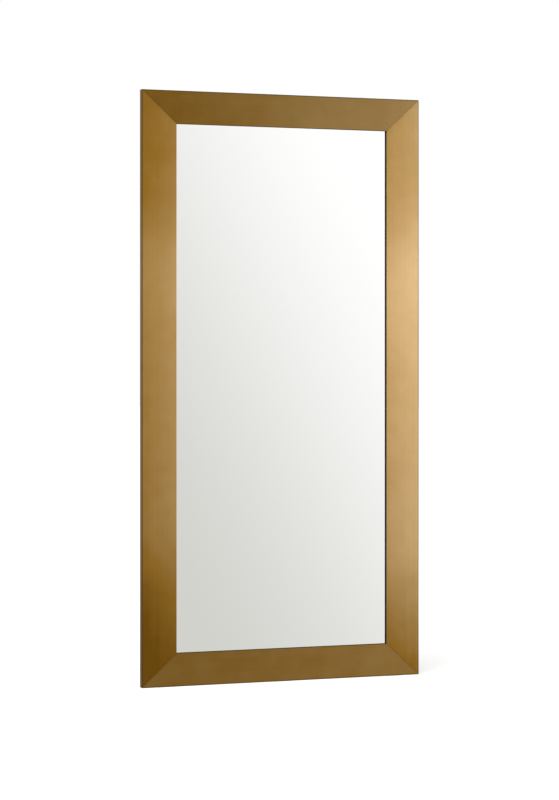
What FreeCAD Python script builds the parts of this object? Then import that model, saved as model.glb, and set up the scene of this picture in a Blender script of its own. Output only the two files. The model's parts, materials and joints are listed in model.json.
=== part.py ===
import FreeCAD, Part
import math
import os

# A leaning floor mirror: one tall plate of mirror glass in a flat, mitred frame. Each side of the
# frame is a wooden core, clad in brass sheet that is folded round its face, its outer side and a
# strip of its back. The glass lies in a rebate behind the core's black lip, and a screwed backing
# board closes the frame. Two D-ring hangers let it hang on a wall instead of leaning.
#
# X runs to the right seen from the front, Y runs back through the depth, and Z runs up.
# The origin is on the floor, under the middle of the frame.

Vector = FreeCAD.Vector
FRONT = Vector(0, -1, 0)
BACK = Vector(0, 1, 0)
UP = Vector(0, 0, 1)
DOWN = Vector(0, 0, -1)
RIGHT = Vector(1, 0, 0)
LEFT = Vector(-1, 0, 0)

# ---------------------------------------------------------------------------
# Driving dimensions, in millimetres
# ---------------------------------------------------------------------------

# The frame
FRAME_WIDTH = 1016.0
FRAME_HEIGHT = 2032.0
FRAME_DEPTH = 25.0
STILE_FACE = 123.0
RAIL_FACE = 113.0

# The brass sheet and its folds
SHEET = 0.8
FOLD_INNER_RADIUS = 0.4
HEM_FLAT = 0.6
BACK_RETURN = 12.0

# The glass and what holds it
LIP_THICKNESS = 7.4
TAPE_THICKNESS = 0.8
TAPE_WIDTH = 6.0
TAPE_INSET = 2.5
GLASS_THICKNESS = 5.0
GLASS_BITE = 10.5
GLASS_CLEARANCE = 1.5
GLASS_ARRIS = 0.5
SETTING_BLOCK_LENGTH = 60.0
BOARD_THICKNESS = 4.0
BOARD_LEDGE = 18.0
BOARD_CLEARANCE = 1.0

# The loose tenons in the mitres
TENON_LENGTH = 50.0
TENON_WIDTH = 40.0
TENON_THICKNESS = 8.0
TENON_BEVEL = 2.0
TENON_CLEARANCE = 0.15
TENON_PLACE = 0.6

# The corner brackets
BRACKET_LEG = 90.0
BRACKET_WIDTH = 18.0
BRACKET_THICKNESS = 2.0
BRACKET_INSET = 61.0
BRACKET_END_MARGIN = 10.0
BRACKET_HOLE_PITCH = 36.0
BRACKET_CORNER_RADIUS = 3.0

# The wall bumpers
BUMPER_DIAMETER = 22.0
BUMPER_TIP_DIAMETER = 18.0
BUMPER_HEIGHT = 8.0
BUMPER_INSET = 30.0
BUMPER_SIDES = 24

# The D-ring hangers
HANGER_DROP = 300.0
HANGER_INSET = 61.0
RING_WIRE = 4.0
RING_CLEARANCE = 0.3
RING_SIDE_GAP = 1.0
RING_CORNER = 4.0
RING_CORNER_STEPS = 3
RING_SIDE_LENGTH = 8.0
RING_BOW_STEPS = 9
STRAP_WIDTH = 20.0
STRAP_THICKNESS = 1.6
STRAP_CURL_DEGREES = 285.0
STRAP_HOLES = 3
STRAP_HOLE_PITCH = 14.0
STRAP_HEAD_GAP = 3.0
STRAP_END_MARGIN = 9.0
STRAP_END_RADIUS = 8.0

# The foot pads, set back a little from the frame's front and back edges
PAD_LENGTH = 60.0
PAD_EDGE_GAP = 1.0
PAD_THICKNESS = 1.5
PAD_INSET = 90.0

# The screws
SCREW_DIAMETER = 3.5
SCREW_CLEARANCE = 0.1
SCREW_HEAD_DIAMETER = 7.0
SCREW_HEAD_HEIGHT = 2.2
BOARD_SCREW_LENGTH = 12.0
BRACKET_SCREW_LENGTH = 14.0
HANGER_SCREW_LENGTH = 16.0
BOARD_SCREWS_PER_STILE = 4
BOARD_SCREWS_PER_RAIL = 2
BOARD_SCREW_END_OFFSET = 150.0

# Small round things, such as screws, their holes and the ring's wire, have this many flat sides
ROUND_SIDES = 12

# ---------------------------------------------------------------------------
# Sizes that follow from them
# ---------------------------------------------------------------------------

# Depths, each counted back from the plane of the brass face
core_front = SHEET
core_back = FRAME_DEPTH - SHEET
lip_back = core_front + LIP_THICKNESS
glass_front = lip_back + TAPE_THICKNESS
glass_back = glass_front + GLASS_THICKNESS
board_back = glass_back + BOARD_THICKNESS
bracket_back = core_back + BRACKET_THICKNESS
strap_back = core_back + STRAP_THICKNESS

# Folds and rebates, each counted outwards from the sight edge
fold_outer_radius = FOLD_INNER_RADIUS + SHEET
hem_depth = fold_outer_radius + HEM_FLAT
glass_rebate = GLASS_BITE + GLASS_CLEARANCE
board_rebate = glass_rebate + BOARD_LEDGE

# The opening that the four sides leave between them
sight_width = FRAME_WIDTH - 2 * STILE_FACE
sight_height = FRAME_HEIGHT - 2 * RAIL_FACE
frame_centre = Vector(0, 0, PAD_THICKNESS + FRAME_HEIGHT / 2)

# The bracket, counted inwards from the frame's outer corner
bracket_edge = BRACKET_INSET - BRACKET_WIDTH / 2

# The hanger: the ring turns about an axis in the strap's curl
ring_radius = RING_WIRE / 2
curl_inner_radius = ring_radius + RING_CLEARANCE
curl_outer_radius = curl_inner_radius + STRAP_THICKNESS
ring_axis_depth = core_back + curl_outer_radius
ring_bar_half = STRAP_WIDTH / 2 + RING_SIDE_GAP
ring_half_width = ring_bar_half + RING_CORNER
ring_bow_drop = RING_CORNER + RING_SIDE_LENGTH
ring_reach = ring_bow_drop + ring_half_width + ring_radius
strap_first_hole = ring_reach + STRAP_HEAD_GAP + SCREW_HEAD_DIAMETER / 2
strap_length = strap_first_hole + (STRAP_HOLES - 1) * STRAP_HOLE_PITCH + STRAP_END_MARGIN
hanger_x = FRAME_WIDTH / 2 - HANGER_INSET
hanger_z = PAD_THICKNESS + FRAME_HEIGHT - HANGER_DROP

strap_end_radius = min(STRAP_END_RADIUS, 0.45 * STRAP_WIDTH)

# The screws and the foot pads
screw_radius = SCREW_DIAMETER / 2
hole_radius = screw_radius + SCREW_CLEARANCE
pad_x = FRAME_WIDTH / 2 - PAD_INSET
pad_width = FRAME_DEPTH - 2 * PAD_EDGE_GAP


def depth(behind):
    """The Y of a plane that lies this far behind the brass face."""
    return behind - FRAME_DEPTH / 2


# ---------------------------------------------------------------------------
# Shapes that several pieces share
# ---------------------------------------------------------------------------

def rounded_outline(corners):
    """A closed wire through (point, radius) corners, each rounded by its own radius."""
    arcs = []
    starts = []
    ends = []
    count = len(corners)
    for i, (point, radius) in enumerate(corners):
        before = (corners[i - 1][0] - point).normalize()
        after = (corners[(i + 1) % count][0] - point).normalize()
        half_angle = before.getAngle(after) / 2
        reach = radius / math.tan(half_angle)
        starts.append(point + before * reach)
        ends.append(point + after * reach)
        bisector = (before + after).normalize()
        middle = point + bisector * (radius / math.sin(half_angle) - radius)
        arcs.append(Part.Arc(starts[i], middle, ends[i]).toShape() if radius else None)
    edges = []
    for i in range(count):
        if arcs[i]:
            edges.append(arcs[i])
        edges.append(Part.LineSegment(ends[i], starts[(i + 1) % count]).toShape())
    return Part.Wire(edges)


def slab(width, height, front, back):
    """A plate centred on the frame, between two depths behind the brass face."""
    corner = Vector(-width / 2, depth(front), frame_centre.z - height / 2)
    return Part.makeBox(width, back - front, height, corner)


def turned_points(centre, spoke, normal, degrees, steps):
    """Points that a spoke passes as it turns about a normal, evenly spaced, with both its ends."""
    turns = [FreeCAD.Rotation(normal, degrees * i / steps) for i in range(steps + 1)]
    return [centre + turn.multVec(spoke) for turn in turns]


def many_sided(centre, spoke, normal, sides=ROUND_SIDES):
    """A closed wire of flat sides in place of a small circle."""
    return Part.makePolygon(turned_points(centre, spoke, normal, 360.0, sides))


def round_bar(point, radius, length, direction):
    """A small round bar, from a point along Y."""
    return Part.Face(many_sided(point, UP * radius, BACK)).extrude(direction * length)


def screw_hole(point, length):
    """The cutter for a screw's hole, from a point towards the front."""
    return round_bar(point, hole_radius, length, FRONT)


def screw(point, length):
    """A screw whose raised head sits on the point and whose shank runs towards the front."""
    head = round_bar(point, SCREW_HEAD_DIAMETER / 2, SCREW_HEAD_HEIGHT, BACK)
    return head.fuse(round_bar(point, screw_radius, length, FRONT))


def screw_group(points, length):
    """A set of like screws, as separate solids in one group."""
    return Part.makeCompound([screw(point, length) for point in points])


def evenly(start, end, count):
    """Numbers spaced evenly from start to end, both included."""
    return [start + (end - start) * i / (count - 1) for i in range(count)]


# ---------------------------------------------------------------------------
# The four sides of the frame
# ---------------------------------------------------------------------------

class Side:
    """One side of the frame: the way its outer side looks, and the line it runs along."""

    def __init__(self, name, outward, along, face, sight_distance, sight_length):
        self.name = name
        self.outward = outward
        self.along = along
        self.face = face
        self.sight_distance = sight_distance
        self.sight_length = sight_length

    def point(self, across, behind, run=0.0):
        """A point counted outwards from the sight edge, back from the face, and along the side."""
        place = frame_centre + self.outward * (self.sight_distance + across) + self.along * run
        return Vector(place.x, depth(behind), place.z)

    def mitre_point(self, share, end):
        """A point of a mitre line: share 0 is the sight corner, share 1 the outer corner."""
        neighbour_face = RAIL_FACE if self.face == STILE_FACE else STILE_FACE
        half_run = self.sight_length / 2 + share * neighbour_face
        return self.point(share * self.face, 0, end * half_run)

    def between_mitres(self):
        """The block that the two mitre planes cut out for this side, run past the face widths."""
        overrun = 0.05
        corners = [
            self.mitre_point(-overrun, -1),
            self.mitre_point(1 + overrun, -1),
            self.mitre_point(1 + overrun, 1),
            self.mitre_point(-overrun, 1),
        ]
        outline = Part.makePolygon(corners + corners[:1])
        outline.translate(FRONT * FRAME_DEPTH)
        return Part.Face(outline).extrude(BACK * 3 * FRAME_DEPTH)

    def extrude(self, section):
        """Run a section the whole length of the side and cut its ends at the mitres."""
        outline = rounded_outline([(self.point(a, b), radius) for a, b, radius in section])
        whole_run = self.sight_length + 2 * max(STILE_FACE, RAIL_FACE)
        bar = Part.Face(outline).extrude(self.along * whole_run)
        bar.translate(self.along * (-whole_run / 2))
        return bar.common(self.between_mitres())

    def brass(self):
        """The folded sheet: hem, face, outer side and back return, all of one thickness."""
        outer = self.face
        inner = self.face - SHEET
        return self.extrude([
            (0, hem_depth, 0),
            (0, 0, fold_outer_radius),
            (outer, 0, fold_outer_radius),
            (outer, FRAME_DEPTH, fold_outer_radius),
            (outer - BACK_RETURN, FRAME_DEPTH, 0),
            (outer - BACK_RETURN, core_back, 0),
            (inner, core_back, FOLD_INNER_RADIUS),
            (inner, core_front, FOLD_INNER_RADIUS),
            (SHEET, core_front, FOLD_INNER_RADIUS),
            (SHEET, hem_depth, 0),
        ])

    def core(self, rebates, pockets):
        """The wooden bar, eased where the sheet folds round it, then rebated and drilled."""
        bar = self.extrude([
            (SHEET, core_front, fold_outer_radius),
            (self.face - SHEET, core_front, fold_outer_radius),
            (self.face - SHEET, core_back, fold_outer_radius),
            (SHEET, core_back, 0),
        ])
        near = [pocket for pocket in pockets if bar.BoundBox.intersect(pocket.BoundBox)]
        return bar.cut(rebates + near)


SIDES = [
    Side("left_stile", LEFT, UP, STILE_FACE, sight_width / 2, sight_height),
    Side("right_stile", RIGHT, UP, STILE_FACE, sight_width / 2, sight_height),
    Side("top_rail", UP, RIGHT, RAIL_FACE, sight_height / 2, sight_width),
    Side("bottom_rail", DOWN, RIGHT, RAIL_FACE, sight_height / 2, sight_width),
]


# ---------------------------------------------------------------------------
# What repeats at the four corners
# ---------------------------------------------------------------------------

class Corner:
    """One corner of the frame: -1 or 1 for left or right, and for bottom or top."""

    def __init__(self, name, side, level):
        self.name = name
        self.side = side
        self.level = level

    def inwards(self, inset_x, inset_z, behind):
        """A point at two insets from the frame's outer corner, this far behind the face."""
        x = self.side * (FRAME_WIDTH / 2 - inset_x)
        z = frame_centre.z + self.level * (FRAME_HEIGHT / 2 - inset_z)
        return Vector(x, depth(behind), z)

    def tenon(self, clearance):
        """The loose tenon across the mitre, swelled all round by a clearance."""
        mitre = Vector(self.side * STILE_FACE, 0, self.level * RAIL_FACE).normalize()
        across = mitre.cross(BACK)
        from_outside = 1 - TENON_PLACE
        centre = self.inwards(STILE_FACE * from_outside, RAIL_FACE * from_outside, FRAME_DEPTH / 2)
        half_length = TENON_LENGTH / 2 + clearance
        half_width = TENON_WIDTH / 2 + clearance
        half_thickness = TENON_THICKNESS / 2 + clearance
        section = []
        for a, b in ((-1, -1), (1, -1), (1, 1), (-1, 1)):
            wide = mitre * (a * half_width)
            thick = BACK * (b * half_thickness)
            ends = [wide + thick - BACK * (b * TENON_BEVEL), wide + thick - mitre * (a * TENON_BEVEL)]
            section += ends if a == b else ends[::-1]
        section = [centre + point - across * half_length for point in section]
        return Part.Face(Part.makePolygon(section + section[:1])).extrude(across * 2 * half_length)

    def bracket_screw_points(self):
        """Points on the bracket's back: the holes of one leg, then those of the other."""
        last = bracket_edge + BRACKET_LEG - BRACKET_END_MARGIN
        runs = [last, last - BRACKET_HOLE_PITCH]
        insets = [(BRACKET_INSET, run) for run in runs] + [(run, BRACKET_INSET) for run in runs]
        return [self.inwards(inset_x, inset_z, bracket_back) for inset_x, inset_z in insets]

    def bracket(self):
        """A flat L-shaped plate on the back of the core, with four holes."""
        near = bracket_edge + BRACKET_WIDTH
        far = bracket_edge + BRACKET_LEG
        shape = [
            (bracket_edge, bracket_edge),
            (far, bracket_edge),
            (far, near),
            (near, near),
            (near, far),
            (bracket_edge, far),
        ]
        corners = [(self.inwards(a, b, core_back), BRACKET_CORNER_RADIUS) for a, b in shape]
        plate = Part.Face(rounded_outline(corners)).extrude(BACK * BRACKET_THICKNESS)
        return plate.cut([screw_hole(p, BRACKET_THICKNESS) for p in self.bracket_screw_points()])

    def bumper(self):
        """A tapered rubber button that keeps the frame off the wall."""
        base = self.inwards(BUMPER_INSET, BUMPER_INSET, core_back)
        foot = many_sided(base, UP * (BUMPER_DIAMETER / 2), BACK, BUMPER_SIDES)
        tip = base + BACK * BUMPER_HEIGHT
        head = many_sided(tip, UP * (BUMPER_TIP_DIAMETER / 2), BACK, BUMPER_SIDES)
        return Part.makeLoft([foot, head], True, True)


CORNERS = [
    Corner("top_left", -1, 1),
    Corner("top_right", 1, 1),
    Corner("bottom_left", -1, -1),
    Corner("bottom_right", 1, -1),
]


# ---------------------------------------------------------------------------
# The glass, and what lies before, under and behind it
# ---------------------------------------------------------------------------

def mirror_glass():
    """The plate, with its sharp edges taken off."""
    width = sight_width + 2 * GLASS_BITE
    height = sight_height + 2 * GLASS_BITE
    plate = slab(width, height, glass_front, glass_back)
    rim = [edge for edge in plate.Edges if edge.Length > 2 * GLASS_THICKNESS]
    return plate.makeChamfer(GLASS_ARRIS, rim)


def glazing_tapes():
    """Four strips between the lip and the glass; the upright ones run past the level ones."""
    half_width = sight_width / 2 + TAPE_INSET
    half_height = sight_height / 2 + TAPE_INSET
    strips = {}
    for name, end in (("left", -1), ("right", 1)):
        strip = slab(TAPE_WIDTH, 2 * (half_height + TAPE_WIDTH), lip_back, glass_front)
        strip.translate(RIGHT * (end * (half_width + TAPE_WIDTH / 2)))
        strips["glazing_tape_" + name] = strip
    for name, end in (("bottom", -1), ("top", 1)):
        strip = slab(2 * half_width, TAPE_WIDTH, lip_back, glass_front)
        strip.translate(UP * (end * (half_height + TAPE_WIDTH / 2)))
        strips["glazing_tape_" + name] = strip
    return strips


def setting_blocks():
    """Two blocks on the bottom rebate that carry the glass at its quarter points."""
    drop = sight_height / 2 + GLASS_BITE + GLASS_CLEARANCE / 2
    blocks = []
    for end in (-1, 1):
        block = slab(SETTING_BLOCK_LENGTH, GLASS_CLEARANCE, glass_front, glass_back)
        block.translate(RIGHT * (end * sight_width / 4) + DOWN * drop)
        blocks.append(block)
    return Part.makeCompound(blocks)


def board_screw_points():
    """Points on the backing board's back, over the middle of the ledge that carries it."""
    ledge_x = sight_width / 2 + glass_rebate + BOARD_LEDGE / 2
    ledge_z = sight_height / 2 + glass_rebate + BOARD_LEDGE / 2
    run_x = sight_width / 2 - BOARD_SCREW_END_OFFSET
    run_z = sight_height / 2 - BOARD_SCREW_END_OFFSET
    places = []
    for end in (-1, 1):
        places += [(end * ledge_x, z) for z in evenly(-run_z, run_z, BOARD_SCREWS_PER_STILE)]
        places += [(x, end * ledge_z) for x in evenly(-run_x, run_x, BOARD_SCREWS_PER_RAIL)]
    return [Vector(x, depth(board_back), frame_centre.z + z) for x, z in places]


def backing_board():
    """The board behind the glass, drilled for its screws."""
    reach = board_rebate - BOARD_CLEARANCE
    board = slab(sight_width + 2 * reach, sight_height + 2 * reach, glass_back, board_back)
    return board.cut([screw_hole(point, BOARD_THICKNESS) for point in board_screw_points()])


# ---------------------------------------------------------------------------
# The D-ring hangers
# ---------------------------------------------------------------------------

def strap_screw_points(x):
    """Points on a strap's leaf, clear of the ring when it hangs down."""
    drops = [strap_first_hole + i * STRAP_HOLE_PITCH for i in range(STRAP_HOLES)]
    return [Vector(x, depth(strap_back), hanger_z - drop) for drop in drops]


def hanger_strap(x):
    """A strip whose top end curls round the ring's straight bar, and whose leaf is screwed on."""
    axis = Vector(x - STRAP_WIDTH / 2, depth(ring_axis_depth), hanger_z)
    leaf = DOWN * strap_length

    def around(radius, degrees):
        """A point round the ring's axis, from the core over the top and down the far side."""
        angle = math.radians(degrees)
        return axis + FRONT * (radius * math.cos(angle)) + UP * (radius * math.sin(angle))

    outer_start = around(curl_outer_radius, 0)
    outer_middle = around(curl_outer_radius, STRAP_CURL_DEGREES / 2)
    outer_end = around(curl_outer_radius, STRAP_CURL_DEGREES)
    inner_start = around(curl_inner_radius, 0)
    inner_middle = around(curl_inner_radius, STRAP_CURL_DEGREES / 2)
    inner_end = around(curl_inner_radius, STRAP_CURL_DEGREES)
    section = Part.Wire([
        Part.LineSegment(outer_start + leaf, outer_start).toShape(),
        Part.Arc(outer_start, outer_middle, outer_end).toShape(),
        Part.LineSegment(outer_end, inner_end).toShape(),
        Part.Arc(inner_end, inner_middle, inner_start).toShape(),
        Part.LineSegment(inner_start, inner_start + leaf).toShape(),
        Part.LineSegment(inner_start + leaf, outer_start + leaf).toShape(),
    ])
    strap = Part.Face(section).extrude(RIGHT * STRAP_WIDTH)
    tolerance = 0.01
    lowest = strap.BoundBox.ZMin + tolerance
    bottom_corners = [
        edge for edge in strap.Edges
        if edge.BoundBox.ZMax < lowest and edge.Length < STRAP_WIDTH / 2
    ]
    strap = strap.makeFillet(strap_end_radius, bottom_corners)
    return strap.cut([screw_hole(point, STRAP_THICKNESS) for point in strap_screw_points(x)])


def hanger_ring(x):
    """A D of wire: a straight bar through the strap's curl, two sides and a half-round bow."""
    axis = Vector(x, depth(ring_axis_depth), hanger_z)
    corner_centre = axis + RIGHT * ring_bar_half + DOWN * RING_CORNER
    far_corner_centre = axis + LEFT * ring_bar_half + DOWN * RING_CORNER
    bow_centre = axis + DOWN * ring_bow_drop
    path = [axis]
    path += turned_points(corner_centre, UP * RING_CORNER, BACK, 90.0, RING_CORNER_STEPS)
    path += turned_points(bow_centre, RIGHT * ring_half_width, BACK, 180.0, RING_BOW_STEPS)
    path += turned_points(far_corner_centre, LEFT * RING_CORNER, BACK, 90.0, RING_CORNER_STEPS)
    path += [axis]
    mitred = 1
    wire = many_sided(axis, UP * ring_radius, RIGHT)
    return Part.makePolygon(path).makePipeShell([wire], True, False, mitred)


# ---------------------------------------------------------------------------
# The feet
# ---------------------------------------------------------------------------

def foot_pad(x):
    """A thin pad under the bottom rail."""
    corner = Vector(x - PAD_LENGTH / 2, -pad_width / 2, 0)
    return Part.makeBox(PAD_LENGTH, pad_width, PAD_THICKNESS, corner)


# ---------------------------------------------------------------------------
# All the pieces together
# ---------------------------------------------------------------------------

def all_pieces():
    """Every piece of the mirror, by name."""
    bracket_screws = []
    for corner in CORNERS:
        bracket_screws += corner.bracket_screw_points()
    hanger_screws = strap_screw_points(-hanger_x) + strap_screw_points(hanger_x)

    board_drill = BOARD_SCREW_LENGTH + SCREW_CLEARANCE
    bracket_drill = BRACKET_SCREW_LENGTH + SCREW_CLEARANCE
    hanger_drill = HANGER_SCREW_LENGTH + SCREW_CLEARANCE
    pockets = [corner.tenon(TENON_CLEARANCE) for corner in CORNERS]
    pockets += [screw_hole(point, board_drill) for point in board_screw_points()]
    pockets += [screw_hole(point, bracket_drill) for point in bracket_screws]
    pockets += [screw_hole(point, hanger_drill) for point in hanger_screws]
    rebates = [
        slab(sight_width + 2 * glass_rebate, sight_height + 2 * glass_rebate, lip_back, FRAME_DEPTH),
        slab(sight_width + 2 * board_rebate, sight_height + 2 * board_rebate, glass_back, FRAME_DEPTH),
    ]

    pieces = {}
    for side in SIDES:
        pieces["brass_" + side.name] = side.brass()
        pieces["core_" + side.name] = side.core(rebates, pockets)

    pieces["mirror_glass"] = mirror_glass()
    pieces.update(glazing_tapes())
    pieces["setting_blocks"] = setting_blocks()
    pieces["backing_board"] = backing_board()
    pieces["backing_screws"] = screw_group(board_screw_points(), BOARD_SCREW_LENGTH)

    for corner in CORNERS:
        pieces["mitre_tenon_" + corner.name] = corner.tenon(0)
        pieces["corner_bracket_" + corner.name] = corner.bracket()
        pieces["wall_bumper_" + corner.name] = corner.bumper()
    pieces["bracket_screws"] = screw_group(bracket_screws, BRACKET_SCREW_LENGTH)

    for name, x in (("left", -hanger_x), ("right", hanger_x)):
        pieces["hanger_strap_" + name] = hanger_strap(x)
        pieces["hanger_ring_" + name] = hanger_ring(x)
    pieces["hanger_screws"] = screw_group(hanger_screws, HANGER_SCREW_LENGTH)

    for name, x in (("left", -pad_x), ("centre", 0), ("right", pad_x)):
        pieces["foot_pad_" + name] = foot_pad(x)
    return pieces


os.makedirs("parts", exist_ok=True)
for name, shape in all_pieces().items():
    shape.exportStep(os.path.join("parts", name + ".step"))
    box = shape.BoundBox
    print(
        f"{name:30s} solids {len(shape.Solids):2d}  valid {shape.isValid()}  "
        f"{box.XLength:7.1f} x {box.YLength:5.1f} x {box.ZLength:7.1f} mm  "
        f"{shape.Volume / 1000:8.2f} cm3"
    )
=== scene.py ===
# %% [markdown]
# # A leaning floor mirror, clad in folded brass
#
# The real object is one tall plate of mirror glass in a flat frame. The frame is wood, and a thin brass
# sheet is folded round the face, the outer side and a strip of the back of each of its four sides. This
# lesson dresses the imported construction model: it loads it, sets the camera and the light, mixes each
# finish from noise and maths, and then builds the pieces that deserve a finer shape than the construction
# model gives them. Everything is in metres. X runs to the right, Y runs back and Z runs up.

# %% Load the construction model
import json
import math
import random

import bmesh
import bpy
from mathutils import Matrix, Vector


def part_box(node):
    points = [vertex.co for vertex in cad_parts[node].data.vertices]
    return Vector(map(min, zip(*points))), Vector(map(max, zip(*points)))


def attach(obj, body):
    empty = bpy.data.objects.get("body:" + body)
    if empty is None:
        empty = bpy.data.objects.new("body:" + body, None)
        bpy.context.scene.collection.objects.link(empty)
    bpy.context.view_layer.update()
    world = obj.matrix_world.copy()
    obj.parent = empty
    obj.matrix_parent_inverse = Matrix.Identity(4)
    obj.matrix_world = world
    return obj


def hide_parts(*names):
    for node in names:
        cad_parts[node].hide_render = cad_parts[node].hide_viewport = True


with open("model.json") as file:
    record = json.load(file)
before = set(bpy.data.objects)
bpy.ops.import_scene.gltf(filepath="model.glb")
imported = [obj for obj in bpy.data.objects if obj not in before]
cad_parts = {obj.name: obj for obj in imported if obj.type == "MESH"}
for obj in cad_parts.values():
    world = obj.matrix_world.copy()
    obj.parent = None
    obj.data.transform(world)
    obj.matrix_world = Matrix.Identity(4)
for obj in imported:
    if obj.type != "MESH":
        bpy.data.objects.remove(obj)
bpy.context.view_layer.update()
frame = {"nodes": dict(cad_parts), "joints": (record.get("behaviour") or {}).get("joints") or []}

print("nodes loaded:", len(frame["nodes"]))

# %% [markdown]
# ## Read the sizes
#
# Numbers that the construction model already holds are never typed again. The boxes of its nodes give the
# outside of the frame, the widths of its sides and the opening that the glass fills. Only what a box can't
# tell, such as the thickness of the sheet, is written here.

# %% Sizes read from the model
MM = 0.001

left_low, left_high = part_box("brass_left_stile")
right_low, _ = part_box("brass_right_stile")
bottom_low, bottom_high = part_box("brass_bottom_rail")
top_low, top_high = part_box("brass_top_rail")

face_y = left_low.y
rear_y = left_high.y
frame_depth = rear_y - face_y
stile_face = left_high.x - left_low.x
rail_face = top_high.z - top_low.z
sight_width = right_low.x - left_high.x
sight_height = top_low.z - bottom_high.z
frame_centre = Vector((0, face_y, (bottom_low.z + top_high.z) / 2))
print(f"stile {stile_face / MM:.0f} mm, rail {rail_face / MM:.0f} mm, depth {frame_depth / MM:.0f} mm")
print(f"opening {sight_width / MM:.0f} x {sight_height / MM:.0f} mm")

# %% [markdown]
# ## A first helper
#
# Whatever is made, be it a camera, a lamp or a mesh, starts as data and shows only once an object that
# holds the data is linked to the scene. Both lines are always the same, so they go into one helper.

# %% The helper for objects
def new_object(name, data):
    """An object that holds this data, linked to the scene."""
    made = bpy.data.objects.new(name, data)
    bpy.context.scene.collection.objects.link(made)
    return made


print("object helper ready")

# %% [markdown]
# ## The camera
#
# The frame's upright edges are parallel in the photograph, so the camera was level, and the picture was
# shifted down to take in the whole mirror. The two rails close in on one line, a little above the
# middle, and that line is the camera's height. A lens shift does the same here. A camera that is tilted
# instead would make the uprights lean together.

# %% A level camera, to the left of the mirror
# The turn is in degrees, the lens in millimetres, and the last two in rows of the photograph
CAMERA_PLACE = Vector((-2.561, -7.3385, 1.1356))
CAMERA_TURN = -19.171
CAMERA_LENS = 100.77
PICTURE_HEIGHT = 800
HORIZON_ROW = 353.8

camera = new_object("camera", bpy.data.cameras.new("camera"))
camera.location = CAMERA_PLACE
camera.rotation_euler = (math.radians(90), 0, math.radians(CAMERA_TURN))
camera.data.lens = CAMERA_LENS
camera.data.shift_y = (HORIZON_ROW - PICTURE_HEIGHT / 2) / PICTURE_HEIGHT
bpy.context.scene.camera = camera
print("camera at", tuple(camera.location), "shift", round(camera.data.shift_y, 4))

# %% [markdown]
# ## A short way to write shader nodes
#
# A material is a small network. Made by hand in the editor it is dragged and wired. In code, one helper
# makes a node, sets its options and wires or fills its sockets in one call, which keeps each finish short
# enough to read.

# %% The helper for nodes
def add_node(tree, kind, sockets=None, **options):
    """Makes a node, sets its options, and links or fills the sockets that are given by name or number."""
    node = tree.nodes.new("ShaderNode" + kind)
    node.location = (180 * (len(tree.nodes) % 9), -220 * (len(tree.nodes) // 9))
    for option, value in options.items():
        setattr(node, option, value)
    for socket, value in (sockets or {}).items():
        if isinstance(value, bpy.types.NodeSocket):
            tree.links.new(value, node.inputs[socket])
        else:
            node.inputs[socket].default_value = value
    return node


def maths(tree, operation, *values):
    """One Math node, as its output."""
    return add_node(tree, "Math", dict(enumerate(values)), operation=operation).outputs[0]


def ramp(tree, value, start, end, low=0.0, high=1.0):
    """A smooth step from low to high while the value goes from start to end."""
    sockets = {"Value": value, "From Min": start, "From Max": end, "To Min": low, "To Max": high}
    node = add_node(tree, "MapRange", sockets, interpolation_type="SMOOTHSTEP")
    return node.outputs["Result"]


def angle_ramp(tree, angle, span, low=0.0, high=1.0):
    """The same smooth step over an angle, whose start and end are given in degrees."""
    start, end = (math.radians(degrees) for degrees in span)
    return ramp(tree, angle, start, end, low, high)


def noise(tree, vector, scale, detail, roughness=0.5):
    """Cloudy noise between 0 and 1; its clumps are about 1 / scale across."""
    sockets = {"Vector": vector, "Scale": scale, "Detail": detail, "Roughness": roughness}
    return add_node(tree, "TexNoise", sockets).outputs["Fac"]


def blend_colours(tree, share, first, second):
    """The first colour where the share is 0, the second where it is 1."""
    node = add_node(tree, "Mix", {0: share, 6: first, 7: second}, data_type="RGBA")
    return node.outputs[2]


print("node helpers ready")

# %% [markdown]
# ## The studio
#
# A mirror and a brushed metal show little of their own: they show the room. The photograph's glass goes
# from white at the upper right to a pale grey at the lower left, so the studio that it faces does the
# same. A picture of a studio would also do, but a few smooth steps over the direction of a ray are
# cleaner, and work for every view. The camera itself sees plain white behind the mirror.

# %% The tones and angles of the studio
# Angles are in degrees. A turn goes from straight ahead of the glass to the right, a lift goes up.
PALE_SIDE = (0.665, 0.66, 0.635, 1)
WHITE_SIDE = (1.08, 1.08, 1.08, 1)
GLASS_SEES_FROM = 16.3
TURN_OVER_LIFT = 1.9
PALE_TO_WHITE = (-0.116, 0.307)
SIDE_TO_FRONT = (-0.2, 0.3)

GLOW = 2.8
GLOW_STARTS = (23, 34)
GLOW_STOPS = (55, 85)
GLOW_LIFT = 1.7
GLOW_SPREAD = 4.5

CEILING_DIMS = (6.7, 28.7)
CEILING_LEVEL = 0.35
FOOT_DIMS = (-34.3, -9.3)
FOOT_LEVEL = 0.6
print("the glow spans turns of", GLOW_STARTS[0], "to", GLOW_STOPS[1], "degrees")

# %% [markdown]
# The tones are wired as one network. It turns the direction of a ray into a turn and a lift, and each
# smooth step over those two angles gives one part of the studio: its white side, its glow, its dimmer
# ceiling and its dimmer floor.

# %% The world round the mirror
world = bpy.data.worlds.new("studio")
bpy.context.scene.world = world
world.use_nodes = True
sky = world.node_tree
sky.nodes.clear()

direction = add_node(sky, "TexCoord").outputs["Generated"]
parts = add_node(sky, "SeparateXYZ", {0: direction})
to_front = maths(sky, "MULTIPLY", parts.outputs["Y"], -1.0)
turn = maths(sky, "ARCTAN2", parts.outputs["X"], to_front)
lift = maths(sky, "ARCSINE", parts.outputs["Z"])

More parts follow.
